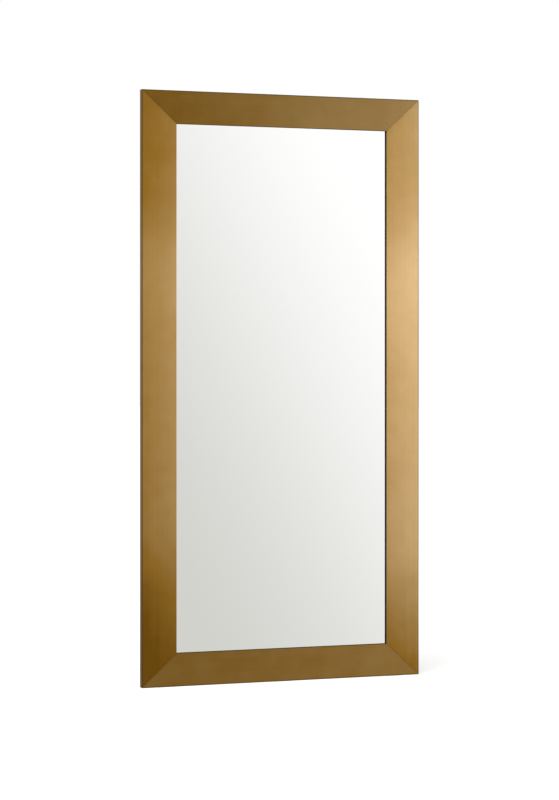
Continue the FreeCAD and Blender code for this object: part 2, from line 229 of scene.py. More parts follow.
# How far a ray has gone towards the white, upper right side
beyond = maths(sky, "SUBTRACT", turn, math.radians(GLASS_SEES_FROM))
whiteness = maths(sky, "MULTIPLY_ADD", beyond, TURN_OVER_LIFT, lift)
in_front = ramp(sky, to_front, *SIDE_TO_FRONT)
white_share = maths(sky, "MULTIPLY", ramp(sky, whiteness, *PALE_TO_WHITE), in_front)
backdrop = blend_colours(sky, white_share, PALE_SIDE, WHITE_SIDE)

# A broad glow at eye level, further to the right than the glass shows the camera
starting = angle_ramp(sky, turn, GLOW_STARTS)
stopping = angle_ramp(sky, turn, GLOW_STOPS, 1.0, 0.0)
off_level = maths(sky, "SUBTRACT", lift, math.radians(GLOW_LIFT))
spreads = maths(sky, "MULTIPLY", off_level, 1 / math.radians(GLOW_SPREAD))
fall = maths(sky, "MULTIPLY", maths(sky, "MULTIPLY", spreads, spreads), -1.0)
evenness = maths(sky, "EXPONENT", fall)
glow_share = maths(sky, "MULTIPLY", maths(sky, "MULTIPLY", starting, stopping), evenness)

# The upper part of the studio is dimmer, and so is the floor near the mirror's foot
upwards = angle_ramp(sky, lift, CEILING_DIMS, 1.0, CEILING_LEVEL)
downwards = angle_ramp(sky, lift, FOOT_DIMS, FOOT_LEVEL, 1.0)
strength = maths(sky, "MULTIPLY_ADD", glow_share, GLOW, maths(sky, "MULTIPLY", upwards, downwards))

studio = add_node(sky, "Background", {"Color": backdrop, "Strength": strength})
plain_white = add_node(sky, "Background", {"Color": (1, 1, 1, 1), "Strength": 1.0})
is_camera = add_node(sky, "LightPath").outputs["Is Camera Ray"]
chosen = add_node(sky, "MixShader", {0: is_camera, 1: studio.outputs[0], 2: plain_white.outputs[0]})
add_node(sky, "OutputWorld", {"Surface": chosen.outputs[0]})
print("world nodes:", len(sky.nodes))

# %% [markdown]
# One large soft lamp hangs over the mirror, a little in front of it. It gives the floor its light and the
# mirror its faint shadow, and the brushed rails catch it as a dull sheen.

# %% The lamp overhead
LAMP_PLACE = Vector((-1.8, -1.2, 4.4))
LAMP_SIZE = 3.2
LAMP_POWER = 170

lamp = new_object("soft_lamp", bpy.data.lights.new("soft_lamp", "AREA"))
lamp.data.shape = "SQUARE"
lamp.data.size = LAMP_SIZE
lamp.data.energy = LAMP_POWER
lamp.location = LAMP_PLACE
lamp.rotation_euler = (frame_centre - LAMP_PLACE).to_track_quat("-Z", "Y").to_euler()
print("lamp at", tuple(lamp.location))

# %% [markdown]
# The floor is a wide pale sheet. It is matt, so it keeps the mirror's shadow. The camera gets a little
# extra light from it, a little near the mirror and more further off, which lifts the open floor to the
# white of the photograph. For reflections it is clear: the glass then shows the studio's even gradient,
# not an edge where the floor stops.

# %% The floor
FLOOR_RADIUS = 40.0
FLOOR_SIDES = 96
FLOOR_TONES = ((0.83, 0.83, 0.82, 1), (0.88, 0.88, 0.87, 1))
NEAR_FLOOR = 0.6
FAR_FLOOR = 2.6
NEAR_LIFT = 0.58
FAR_LIFT = 0.9


def mesh_from(shape, name):
    """Turns a finished bmesh into a mesh, and lets the bmesh go."""
    made = bpy.data.meshes.new(name)
    shape.to_mesh(made)
    shape.free()
    return made


shape = bmesh.new()
bmesh.ops.create_circle(shape, cap_ends=True, segments=FLOOR_SIDES, radius=FLOOR_RADIUS)
floor_mesh = mesh_from(shape, "floor")
floor = new_object("floor", floor_mesh)

floor_paint = bpy.data.materials.new("pale_floor")
floor_paint.use_nodes = True
tree = floor_paint.node_tree
tree.nodes.clear()
rays = add_node(tree, "LightPath")
mottle = add_node(tree, "TexNoise", {"Scale": 3.0, "Detail": 4.0})
floor_colour = blend_colours(tree, mottle.outputs["Fac"], *FLOOR_TONES)
matt = add_node(tree, "BsdfDiffuse", {"Color": floor_colour})
place = add_node(tree, "NewGeometry").outputs["Position"]
away = add_node(tree, "VectorMath", {0: place}, operation="LENGTH").outputs["Value"]
lift_here = ramp(tree, away, NEAR_FLOOR, FAR_FLOOR, NEAR_LIFT, FAR_LIFT)
lifted = maths(tree, "MULTIPLY", rays.outputs["Is Camera Ray"], lift_here)
extra = add_node(tree, "Emission", {"Color": (1, 1, 1, 1), "Strength": lifted})
seen = add_node(tree, "AddShader", {0: matt.outputs[0], 1: extra.outputs[0]})
clear = add_node(tree, "BsdfTransparent")
is_glossy = rays.outputs["Is Glossy Ray"]
floor_shader = add_node(tree, "MixShader", {0: is_glossy, 1: seen.outputs[0], 2: clear.outputs[0]})
add_node(tree, "OutputMaterial", {"Surface": floor_shader.outputs[0]})
floor_mesh.materials.append(floor_paint)
print("floor radius", FLOOR_RADIUS, "m")

# %% [markdown]
# ## Effects that several finishes share
#
# Brushed brass, rolled steel and lacquered wood all have lines that run one way, and nearly everything
# has soft, cloudy unevenness. Each effect could be copied into every material. A node group is better: it
# is made once, has named inputs, and each material places it with its own values.

# %% A helper for node groups
def new_group(name, inputs, outputs):
    """A node group with float inputs and defaults, and float outputs; 'Vector' is made a vector."""
    group = bpy.data.node_groups.new(name, "ShaderNodeTree")
    for title, value in inputs.items():
        kind = "NodeSocketVector" if title == "Vector" else "NodeSocketFloat"
        socket = group.interface.new_socket(name=title, in_out="INPUT", socket_type=kind)
        if title != "Vector":
            socket.default_value = value
    for title in outputs:
        group.interface.new_socket(name=title, in_out="OUTPUT", socket_type="NodeSocketFloat")
    entry = group.nodes.new("NodeGroupInput").outputs
    leave = group.nodes.new("NodeGroupOutput").inputs
    return group, entry, leave


def place_group(tree, group, **sockets):
    """Puts a group in a material and fills its inputs; an underscore stands for a space."""
    node = tree.nodes.new("ShaderNodeGroup")
    node.node_tree = group
    node.location = (180 * (len(tree.nodes) % 9), -220 * (len(tree.nodes) // 9))
    for title, value in sockets.items():
        socket = node.inputs[title.replace("_", " ")]
        if isinstance(value, bpy.types.NodeSocket):
            tree.links.new(value, socket)
        else:
            socket.default_value = value
    return node.outputs


print("group helpers ready")

# %% [markdown]
# **Brush lines.** An abrasive pad leaves thousands of fine scratches, all one way. Noise that is stretched
# along one axis, up to two hundred times on the brass, has the same look, and two sizes of it together
# avoid a combed pattern. The lines run along the first axis of the vector that goes in.

# %% The brush lines group
brush_lines, entry, leave = new_group(
    "brush lines", {"Vector": None, "Line Length": 0.4, "Line Width": 0.002}, ["Fine", "Broad"]
)
along = maths(brush_lines, "DIVIDE", 1.0, entry["Line Length"])
across = maths(brush_lines, "DIVIDE", 1.0, entry["Line Width"])
stretch = add_node(brush_lines, "CombineXYZ", {0: along, 1: across, 2: across}).outputs[0]
stretching = add_node(brush_lines, "VectorMath", {0: entry["Vector"], 1: stretch}, operation="MULTIPLY")
for title, scale, detail, roughness in (("Fine", 1.0, 3.0, 0.6), ("Broad", 0.13, 4.0, 0.65)):
    scratches = noise(brush_lines, stretching.outputs[0], scale, detail, roughness)
    brush_lines.links.new(scratches, leave[title])
print("brush lines group:", len(brush_lines.nodes), "nodes")

# %% [markdown]
# **Clouds.** Patina, handling marks, dust and uneven lacquer are cloudy. Noise gives the clouds, and a
# smooth step with an adjustable amount says how much of the surface they cover.

# %% The clouds group
clouds, entry, leave = new_group(
    "clouds", {"Vector": None, "Size": 0.2, "Cover": 0.5, "Softness": 0.25}, ["Mask"]
)
frequency = maths(clouds, "DIVIDE", 1.0, entry["Size"])
billow = noise(clouds, entry["Vector"], frequency, 5.0, 0.6)
threshold = maths(clouds, "SUBTRACT", 1.0, entry["Cover"])
start = maths(clouds, "SUBTRACT", threshold, entry["Softness"])
end = maths(clouds, "ADD", threshold, entry["Softness"])
clouds.links.new(ramp(clouds, billow, start, end), leave["Mask"])
print("clouds group:", len(clouds.nodes), "nodes")

# %% [markdown]
# **Pebbles.** Moulded rubber, nylon and the skin of a foam tape aren't smooth: they have a fine grain,
# half a millimetre across, left by the mould. It is a noise so fine that it only shows as a soft break
# in the shine.

# %% The pebbles group
MOULD_GRAIN = 0.45 * MM

pebbles, entry, leave = new_group("pebbles", {"Vector": None, "Pebble Size": MOULD_GRAIN}, ["Height"])
frequency = maths(pebbles, "DIVIDE", 1.0, entry["Pebble Size"])
pebbles.links.new(noise(pebbles, entry["Vector"], frequency, 2.0), leave["Height"])
print("pebbles group:", len(pebbles.nodes), "nodes")

# %% [markdown]
# ## Finishes
#
# Every finish starts from the same few lines, so a helper makes the material and its Principled shader.
# Values that are the same all over the surface are set straight on the shader, which keeps them readable
# and lets other programs read them too.

# %% The helper for finishes
def new_finish(name, **constants):
    """A material with one Principled shader; the constants fill its sockets, _ standing for a space."""
    finish = bpy.data.materials.new(name)
    finish.use_nodes = True
    tree = finish.node_tree
    tree.nodes.clear()
    sockets = {title.replace("_", " "): value for title, value in constants.items()}
    shader = add_node(tree, "BsdfPrincipled", sockets)
    add_node(tree, "OutputMaterial", {"Surface": shader.outputs[0]})
    return finish, tree, shader


def bump(tree, height, distance):
    """A Bump node, as its normal; the distance is the real height in metres."""
    return add_node(tree, "Bump", {"Height": height, "Distance": distance}).outputs["Normal"]


def turned(tree, vector, degrees):
    """A vector turned about the three axes, in degrees, so that lines can run along any side."""
    rotation = tuple(math.radians(angle) for angle in degrees)
    return add_node(tree, "Mapping", {"Vector": vector, "Rotation": rotation}).outputs[0]


print("finish helpers ready")

# %% [markdown]
# ### Antique brushed brass
#
# The sheet was brushed along its length before it was folded, then darkened and rubbed back by hand. Three
# things make that look. The shine is stretched across the brush lines, which the shader calls anisotropy.
# The colour goes from a dark brown gold, tarnished in the mitres, to a paler gold where the patina was
# rubbed back; the palest gold is also a painted highlight, and the brown along the folds is partly painted
# shade. And fine lines break up both. Where the mesh knows more than noise could, such as how far a point
# is from a mitre, it carries that number as an attribute for the material to read.

# %% The tones of the brass
# Each tone stands beside the share of rubbing and painted sheen that brings it out; the palest is a painted
# highlight
BRASS_AND_SHEEN_TONES = (
    (0.0, (0.17, 0.078, 0.006, 1)),
    (0.25, (0.27, 0.138, 0.020, 1)),
    (0.5, (0.36, 0.215, 0.068, 1)),
    (1.0, (0.59, 0.40, 0.20, 1)),
)
# Brown tarnish for the joints; along the folds and in the hem it is also painted shade
TARNISH_AND_SHADE = (0.085, 0.052, 0.018, 1)
JOINT_TARNISH = 0.15
JOINT_REACH = 7 * MM
FOLD_TARNISH_AND_SHADE = 0.85
FOLD_REACH = (1 * MM, 4.5 * MM)
PATCH_SHARE = 0.12
SMALL_PATCH_SHARE = 0.05
BROAD_LINE_SHARE = 0.12
STREAK = 0.14
BRASS_ROUGHNESS = 0.28
TARNISH_DULLS = 0.1
LINES_DULL = 0.08
BRUSH_DEPTH = 0.02 * MM
print("tones of brass:", len(BRASS_AND_SHEEN_TONES))

# %% [markdown]
# In the material, the rubbing is a number for every point, patina with painted highlight and shade in it.
# The mesh gives it in rough, the clouds and the broad lines move it up and down, and then it picks the
# tone. Tarnish goes on last, in the joints, because no pad reaches there. Along the folds the same brown is
# partly tarnish and partly painted shade, and in the hem, inside the reveal, it is painted shade.

# %% The brass
brass, tree, shader = new_finish("antique_brass", Metallic=1.0, Anisotropic=0.8)
grain = add_node(tree, "UVMap", uv_map="grain").outputs[0]
lines = place_group(tree, brush_lines, Vector=grain, Line_Length=0.35, Line_Width=0.0016)
solid_place = add_node(tree, "TexCoord").outputs["Object"]
patches = place_group(tree, clouds, Vector=solid_place, Size=0.22, Cover=0.5, Softness=0.3)["Mask"]
small_patches = place_group(tree, clouds, Vector=solid_place, Size=0.05, Cover=0.5, Softness=0.3)["Mask"]

rubbed_and_sheen = add_node(tree, "Attribute", attribute_name="rubbed_and_sheen").outputs["Fac"]
mitre = add_node(tree, "Attribute", attribute_name="mitre_distance").outputs["Fac"]
fold = add_node(tree, "Attribute", attribute_name="fold_distance").outputs["Fac"]

# Each mask moves the rubbing by its share, and half of all the shares comes off, to keep the average
rubbing_and_sheen = rubbed_and_sheen
shares = ((patches, PATCH_SHARE), (small_patches, SMALL_PATCH_SHARE), (lines["Broad"], BROAD_LINE_SHARE))
for mask, share in shares:
    rubbing_and_sheen = maths(tree, "MULTIPLY_ADD", mask, share, rubbing_and_sheen)
rubbing_and_sheen = maths(tree, "SUBTRACT", rubbing_and_sheen, sum(share for _, share in shares) / 2)

gold = BRASS_AND_SHEEN_TONES[0][1]
for (start, _), (end, tone) in zip(BRASS_AND_SHEEN_TONES, BRASS_AND_SHEEN_TONES[1:]):
    step = maths(tree, "MULTIPLY_ADD", rubbing_and_sheen, 1 / (end - start), -start / (end - start))
    gold = blend_colours(tree, step, gold, tone)

# Tarnish in the joints; along the folds it is partly painted shade, and in the hem it is painted shade
in_joint = ramp(tree, mitre, 0.0, JOINT_REACH, JOINT_TARNISH, 0.0)
fold_tarnish_and_shade = ramp(tree, fold, *FOLD_REACH, FOLD_TARNISH_AND_SHADE, 0.0)
tarnish_and_shade = maths(tree, "MAXIMUM", in_joint, fold_tarnish_and_shade)
shade = blend_colours(tree, tarnish_and_shade, gold, TARNISH_AND_SHADE)
streaked = maths(tree, "MULTIPLY_ADD", lines["Fine"], STREAK, 1 - STREAK / 2)
brass_colour = add_node(tree, "VectorMath", {0: shade, "Scale": streaked}, operation="SCALE").outputs[0]
tree.links.new(brass_colour, shader.inputs["Base Color"])

dulled = maths(tree, "MULTIPLY_ADD", tarnish_and_shade, TARNISH_DULLS, BRASS_ROUGHNESS)
dulled = maths(tree, "MULTIPLY_ADD", lines["Broad"], LINES_DULL, dulled)
tree.links.new(dulled, shader.inputs["Roughness"])
tree.links.new(bump(tree, lines["Fine"], BRUSH_DEPTH), shader.inputs["Normal"])
across_grain = add_node(tree, "Tangent", direction_type="UV_MAP", uv_map="across").outputs[0]
tree.links.new(across_grain, shader.inputs["Tangent"])
print("brass nodes:", len(tree.nodes))

# %% [markdown]
# ### Mirror glass
#
# A silvered plate reflects nearly all light, with a very slight green cast from the glass in front of the
# silver. It could be built as clear glass over a metal layer, which is slow and noisy. One metal surface
# with almost no roughness looks the same from a step away. Faint wiping marks stay, as on any real mirror.

# %% The mirror
SILVER_CLEAN = (0.968, 0.976, 0.962, 1)
SILVER_WIPED = (0.956, 0.966, 0.952, 1)
WIPING_SLANT = (0, 28, 0)
SMEAR_STARTS = 0.5
SMEAR_FULL = 0.8
POLISH = 0.008
SMEAR_DULLS = 0.03

mirror, tree, shader = new_finish("mirror_silver", Metallic=1.0)
place = add_node(tree, "TexCoord").outputs["Object"]
wiped = turned(tree, place, WIPING_SLANT)
smears = place_group(tree, brush_lines, Vector=wiped, Line_Length=0.6, Line_Width=0.03)["Broad"]
haze = place_group(tree, clouds, Vector=place, Size=0.35, Cover=0.5, Softness=0.3)["Mask"]
marks = maths(tree, "MULTIPLY", ramp(tree, smears, SMEAR_STARTS, SMEAR_FULL), haze)
silver = blend_colours(tree, marks, SILVER_CLEAN, SILVER_WIPED)
tree.links.new(silver, shader.inputs["Base Color"])
tree.links.new(maths(tree, "MULTIPLY_ADD", marks, SMEAR_DULLS, POLISH), shader.inputs["Roughness"])
print("mirror nodes:", len(tree.nodes))

# %% [markdown]
# ### Black lacquered wood
#
# The core shows as a black line round the glass, and as the whole back of the frame. It is sprayed with
# satin lacquer, thin enough for the grain to stand out a little. The lip in front of the glass is dead
# matt, so that it doesn't shine in the mirror. The grain follows each side, so the material is made twice,
# once for the uprights and once for the rails.

# %% The two black woods
LACQUER_DEEP = (0.006, 0.0055, 0.005, 1)
LACQUER_GREY = (0.022, 0.020, 0.018, 1)
PORE_SHARE = 0.7
RUB_SHARE = 0.3
LACQUER_SATIN = 0.36
RUB_DULLS = 0.18
LIP_ENDS = (10 * MM, 20 * MM)
LIP_DULLS = 0.5
PORE_DEPTH = 0.15 * MM
GRAIN_UP = (0, 90, 0)
GRAIN_LEVEL = (0, 0, 0)


def black_wood(name, degrees):
    """Satin black lacquer over wood whose grain runs along X once turned by these degrees."""
    finish, tree, shader = new_finish(name, Specular_IOR_Level=0.2)
    place = add_node(tree, "TexCoord").outputs["Object"]
    grainwise = turned(tree, place, degrees)
    pores = place_group(tree, brush_lines, Vector=grainwise, Line_Length=0.12, Line_Width=0.0014)
    rub = place_group(tree, clouds, Vector=place, Size=0.12, Cover=0.45, Softness=0.2)["Mask"]
    tone = maths(tree, "MULTIPLY_ADD", pores["Broad"], PORE_SHARE, maths(tree, "MULTIPLY", rub, RUB_SHARE))
    colour = blend_colours(tree, tone, LACQUER_DEEP, LACQUER_GREY)
    tree.links.new(colour, shader.inputs["Base Color"])
    behind = add_node(tree, "SeparateXYZ", {0: place}).outputs["Y"]
    lip_start, lip_end = (face_y + depth for depth in LIP_ENDS)
    matt_lip = ramp(tree, behind, lip_start, lip_end, LIP_DULLS, 0.0)
    satin = maths(tree, "MULTIPLY_ADD", rub, RUB_DULLS, LACQUER_SATIN)
    tree.links.new(maths(tree, "ADD", satin, matt_lip), shader.inputs["Roughness"])
    tree.links.new(bump(tree, pores["Fine"], PORE_DEPTH), shader.inputs["Normal"])
    return finish


black_upright = black_wood("black_wood_upright", GRAIN_UP)
black_level = black_wood("black_wood_level", GRAIN_LEVEL)
print("made", black_upright.name, "and", black_level.name)

# %% [markdown]
# ### Hardboard
#
# The backing board is hardboard: brown, pressed from fibres, with the fine screen pattern of its mould on
# the side that faces the wall. The screen could be cut into the mesh, at millions of faces. Two sets of
# waves that cross give the same small pits. A wave texture of scale 1 has a wave every pi / 10 metres.

# %% The hardboard
FIBRE_DARK = (0.15, 0.080, 0.038, 1)
FIBRE_LIGHT = (0.40, 0.245, 0.125, 1)
CLUMP_BROWN = (0.17, 0.092, 0.044, 1)
PIT_BROWN = (0.10, 0.052, 0.024, 1)
SCREEN_PITCH = 2.2 * MM
SCREEN_DEPTH = 0.2 * MM
FIBRES_PER_METRE = 900.0
STAIN_SHARE = 0.35
FIBRE_RELIEF = 0.3


def mould_wires(tree, place, degrees):
    """The waves that one set of the screen's wires leaves, turned by these degrees."""
    scale = math.pi / 10 / SCREEN_PITCH
    sockets = {"Vector": turned(tree, place, degrees), "Scale": scale, "Distortion": 0.4}
    return add_node(tree, "TexWave", sockets, wave_profile="SIN").outputs["Fac"]


hardboard, tree, shader = new_finish("hardboard", Roughness=0.8, Specular_IOR_Level=0.3)
place = add_node(tree, "TexCoord").outputs["Object"]
crossing = [mould_wires(tree, place, degrees) for degrees in (GRAIN_LEVEL, GRAIN_UP)]
screen = maths(tree, "MULTIPLY", *crossing)
fibres = noise(tree, place, FIBRES_PER_METRE, 4.0, 0.7)
clumps = place_group(tree, clouds, Vector=place, Size=0.09, Cover=0.5, Softness=0.3)["Mask"]
brown = blend_colours(tree, fibres, FIBRE_DARK, FIBRE_LIGHT)
for mask, tone in ((clumps, CLUMP_BROWN), (screen, PIT_BROWN)):
    brown = blend_colours(tree, maths(tree, "MULTIPLY", mask, STAIN_SHARE), brown, tone)
tree.links.new(brown, shader.inputs["Base Color"])
relief = maths(tree, "SUBTRACT", maths(tree, "MULTIPLY", fibres, FIBRE_RELIEF), screen)
tree.links.new(bump(tree, relief, SCREEN_DEPTH), shader.inputs["Normal"])
print("hardboard nodes:", len(tree.nodes))

# %% [markdown]
# ### Zinc-plated steel
#
# The brackets, straps, rings and screws are steel with a bright zinc plate. The plate is cloudy and
# slightly blue, and soft cells show where its crystals grew. One metal of one grey would look like
# plastic, so clouds move the tone and the shine together, and the rolling of the strip leaves faint lines.

# %% The zinc-plated steel
ZINC_GREY = (0.50, 0.52, 0.54, 1)
ZINC_BRIGHT = (0.68, 0.69, 0.70, 1)
ZINC_BLUE = (0.44, 0.46, 0.50, 1)
CRYSTALS_PER_METRE = 260.0
BLUE_SHARE = 0.4
ZINC_ROUGHNESS = 0.26
CLOUD_DULLS = 0.14
ROLLED_DEPTH = 0.01 * MM

zinc, tree, shader = new_finish("zinc_steel", Metallic=1.0)
place = add_node(tree, "TexCoord").outputs["Object"]
cells = add_node(tree, "TexVoronoi", {"Vector": place, "Scale": CRYSTALS_PER_METRE}, feature="SMOOTH_F1")
cloudy = place_group(tree, clouds, Vector=place, Size=0.012, Cover=0.5, Softness=0.3)["Mask"]
rolled = place_group(tree, brush_lines, Vector=place, Line_Length=0.03, Line_Width=0.0006)["Fine"]
plate = blend_colours(tree, cloudy, ZINC_GREY, ZINC_BRIGHT)
blueness = maths(tree, "MULTIPLY", cells.outputs["Distance"], BLUE_SHARE)
plate = blend_colours(tree, blueness, plate, ZINC_BLUE)
tree.links.new(plate, shader.inputs["Base Color"])
dulled = maths(tree, "MULTIPLY_ADD", cloudy, CLOUD_DULLS, ZINC_ROUGHNESS)
tree.links.new(dulled, shader.inputs["Roughness"])
tree.links.new(bump(tree, rolled, ROLLED_DEPTH), shader.inputs["Normal"])
print("zinc nodes:", len(tree.nodes))

# %% [markdown]
# ### Rubber, nylon and tape
#
# The bumpers and setting blocks are rubber, the foot pads white nylon, and the glass lies on foam tape.
# All three are plain, matt and moulded, and differ only in tone, shine and grain, so one function makes
# them from a few values each.

# %% The moulded materials
MOTTLE_DULLS = 0.12


def plain_matter(name, dark, light, size, roughness, relief):
    """A matt stuff with cloudy colour between two tones and a fine pebbled surface."""
    finish, tree, shader = new_finish(name)
    place = add_node(tree, "TexCoord").outputs["Object"]
    mottle = place_group(tree, clouds, Vector=place, Size=size, Cover=0.5, Softness=0.3)["Mask"]
    grit = place_group(tree, pebbles, Vector=place, Pebble_Size=MOULD_GRAIN)["Height"]
    tree.links.new(blend_colours(tree, mottle, dark, light), shader.inputs["Base Color"])
    dulled = maths(tree, "MULTIPLY_ADD", mottle, MOTTLE_DULLS, roughness)
    tree.links.new(dulled, shader.inputs["Roughness"])
    tree.links.new(bump(tree, grit, relief), shader.inputs["Normal"])
    return finish


rubber = plain_matter(
    "rubber", dark=(0.016, 0.016, 0.016, 1), light=(0.034, 0.033, 0.032, 1),
    size=8 * MM, roughness=0.62, relief=0.04 * MM,
)
nylon = plain_matter(
    "white_nylon", dark=(0.80, 0.80, 0.78, 1), light=(0.88, 0.88, 0.87, 1),
    size=10 * MM, roughness=0.42, relief=0.02 * MM,
)
tape = plain_matter(
    "glazing_tape", dark=(0.008, 0.008, 0.008, 1), light=(0.016, 0.016, 0.016, 1),
    size=10 * MM, roughness=0.85, relief=0.05 * MM,
)
print("made", rubber.name, nylon.name, "and", tape.name)

# %% [markdown]
# ### Beech
#
# The loose tenons inside the mitres are beech, which has short, fine fibres and no bold rings. The
# tenons lie at 45 degrees, so the brush lines are turned by as much and made short. Nobody sees them
# while the mirror is whole, but the part comes apart, and then the joint should look like wood.

# %% The beech
BEECH_DARK = (0.42, 0.25, 0.13, 1)
BEECH_LIGHT = (0.66, 0.45, 0.27, 1)
TENON_SLANT = (0, 45, 0)
FIBRE_DEPTH = 0.05 * MM

beech, tree, shader = new_finish("beech", Roughness=0.6)
place = add_node(tree, "TexCoord").outputs["Object"]
slanted = turned(tree, place, TENON_SLANT)
wood_rays = place_group(tree, brush_lines, Vector=slanted, Line_Length=0.03, Line_Width=0.001)
wood_colour = blend_colours(tree, wood_rays["Broad"], BEECH_DARK, BEECH_LIGHT)
tree.links.new(wood_colour, shader.inputs["Base Color"])
tree.links.new(bump(tree, wood_rays["Fine"], FIBRE_DEPTH), shader.inputs["Normal"])
print("finishes so far:", len(bpy.data.materials))

# %% [markdown]
# ## The folded brass
#
# Each side wears one strip of sheet, folded round the face, the outer side and 12 mm of the back, with a
# small hem at the glass, and cut at 45 degrees or so at both ends. It could be a bar with bevelled edges.
# Running the sheet's own section along the side is truer: the folds keep their real radius, the sheet has
# its real thickness where it ends at the back, and every point knows how far along and across it is. That
# is what the brushed finish needs.

# %% The section of the folded sheet
SHEET = 0.8 * MM
FOLD_INNER_RADIUS = 0.4 * MM
FOLD_RADIUS = FOLD_INNER_RADIUS + SHEET
HEM_DEPTH = FOLD_RADIUS + 0.6 * MM
BACK_RETURN = 12 * MM
FOLD_STEPS = 6
WIDEST_STRIP = 9 * MM


def rounded(corners, steps):
    """Points of a flat outline of (x, y, radius) corners, rounded in steps; radius 0 stays sharp."""
    points = []
    for i, (x, y, radius) in enumerate(corners):
        corner = Vector((x, y))
        before = (Vector(corners[i - 1][:2]) - corner).normalized()
        after = (Vector(corners[(i + 1) % len(corners)][:2]) - corner).normalized()
        if not radius:
            points.append(corner)
            continue
        half = before.angle(after) / 2
        centre = corner + (before + after).normalized() * (radius / math.sin(half))
        first = corner + before * (radius / math.tan(half)) - centre
        last = corner + after * (radius / math.tan(half)) - centre
        sweep = first.angle_signed(last)
        for step in range(steps + 1):
            spoke = first.copy()
            spoke.rotate(Matrix.Rotation(-sweep * step / steps, 2))
            points.append(centre + spoke)
    return points


def divided(points, longest):
    """The same closed outline, with its long runs cut into shorter ones."""
    cut = []
    for point, following in zip(points, points[1:] + points[:1]):
        count = max(1, math.ceil((following - point).length / longest))
        cut += [point.lerp(following, i / count) for i in range(count)]
    return cut


def sheet_section(face):
    """(across, behind) points round the sheet: across from the sight edge, behind from the face."""
    return divided(rounded([
        (0, HEM_DEPTH, 0),
        (0, 0, FOLD_RADIUS),
        (face, 0, FOLD_RADIUS),
        (face, frame_depth, FOLD_RADIUS),
        (face - BACK_RETURN, frame_depth, 0),
        (face - BACK_RETURN, frame_depth - SHEET, 0),
        (face - SHEET, frame_depth - SHEET, FOLD_INNER_RADIUS),
        (face - SHEET, SHEET, FOLD_INNER_RADIUS),
        (SHEET, SHEET, FOLD_INNER_RADIUS),
        (SHEET, HEM_DEPTH, 0),
    ], FOLD_STEPS), WIDEST_STRIP)


print("section points:", len(sheet_section(stile_face)))

# %% [markdown]
# ### Rubbing and painted light on each sheet
#
# Noise alone would spread the patina evenly, but hands and pads don't. Light and shade are painted into the
# same number: the stiles are painted pale in a band of highlight and darker at their foot and head, the
# right one is painted paler than the left, each is painted lighter towards its right edge, and the rails
# get lighter from left to right. A few numbers for each sheet say this, and the mesh carries the result.

# %% The rubbing of a stile and a rail
# How far the patina was rubbed back, with painted highlight and shade in it: (where least, where most) on
# each sheet
RUBBED_AND_SHEEN = {
    "brass_left_stile": (0.0, 0.53),
    "brass_right_stile": (0.12, 0.855),
    "brass_top_rail": (0.24, 0.60),
    "brass_bottom_rail": (0.33, 0.38),
}
# Painted shade at the foot and head of each stile
SHADED_FOOT = {"brass_left_stile": 0.35, "brass_right_stile": 0.20}
SHADED_HEAD = {"brass_left_stile": 0.38, "brass_right_stile": 0.29}
FOOT_FADE = 0.29
HEAD_FADE = (1.4, 1.85)
RAIL_FADE = (-0.55, 0.55)
# A painted highlight band across the stiles, at this height in metres, with its reach and share
HIGHLIGHT_HEIGHT = 1.36
HIGHLIGHT_REACH = 0.18
HIGHLIGHT_SHARE = 0.15
# How much lighter the right edge of a stile is painted than its middle, and its left edge darker: painted
# shading
RIGHTWARD_SHEEN = 0.09


def smooth_step(value, start, end):
    """0 below the start, 1 above the end, and smooth between."""
    share = min(1.0, max(0.0, (value - start) / (end - start)))
    return share * share * (3 - 2 * share)


def upright_rub_and_sheen(height, foot, head):
    """How pale a stile is at a height: a painted highlight band, painted shade at its foot and head, over
    the patina.
    """
    at_highlight = math.exp(-((height - HIGHLIGHT_HEIGHT) / HIGHLIGHT_REACH) ** 2)
    body = smooth_step(height, foot - FOOT_FADE, foot + FOOT_FADE)
    below_head_shade = 1 - head * smooth_step(height, *HEAD_FADE)
    return HIGHLIGHT_SHARE * at_highlight + (1 - HIGHLIGHT_SHARE) * body * below_head_shade


def level_rub_and_sheen(side_place):
    """How pale a rail is: painted darker at its left end and lighter at its right end, over the patina."""
    return smooth_step(side_place, *RAIL_FADE)


print("a rail's middle is rubbed", round(level_rub_and_sheen(0.0), 2), "of the way")

# %% [markdown]
# ### One way into the scene
#
# Every new piece joins the scene alike: it gets its finish, rides on a body, and takes the place of the
# nodes that it stands for. One helper says all of that, so no piece misses a step.

# %% The helper for pieces
def finish_piece(piece_mesh, name, body, finish, replaced=()):
    """Puts a mesh in the scene as a named piece that rides on a body and stands for CAD nodes."""
    piece = new_object(name, piece_mesh)
    piece_mesh.materials.append(finish)
    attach(piece, body)
    if replaced:
        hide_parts(*replaced)
    return piece


print("piece helper ready")

# %% [markdown]
# ### Run the sheet from mitre to mitre
#
# At a mitre, a point that lies further out also lies further along, so each point of the section has its
# own start and end. The last third of a millimetre before the joint dips a little, as a filed edge does,
# which draws the fine line of the mitre.

# %% Run the section along one side
STATIONS = 48
EASE_LENGTH = 0.35 * MM
EASE_DEPTH = 0.12 * MM
HEM_STARTS = 0.7 * FOLD_RADIUS


def fold_distance(point, face):
    """How far a point of the section lies from an outer fold, or 0 in the hem, which gets the full painted
    shade.
    """
    if point.x < FOLD_RADIUS and point.y > HEM_STARTS:
        return 0.0
    return min((point - Vector((face, depth))).length for depth in (0, frame_depth))


def run_stations():
    """Shares of the run from -1 to 1, with the middle among them, so that distances stay exact."""
    return [2 * i / STATIONS - 1 for i in range(STATIONS + 1)]


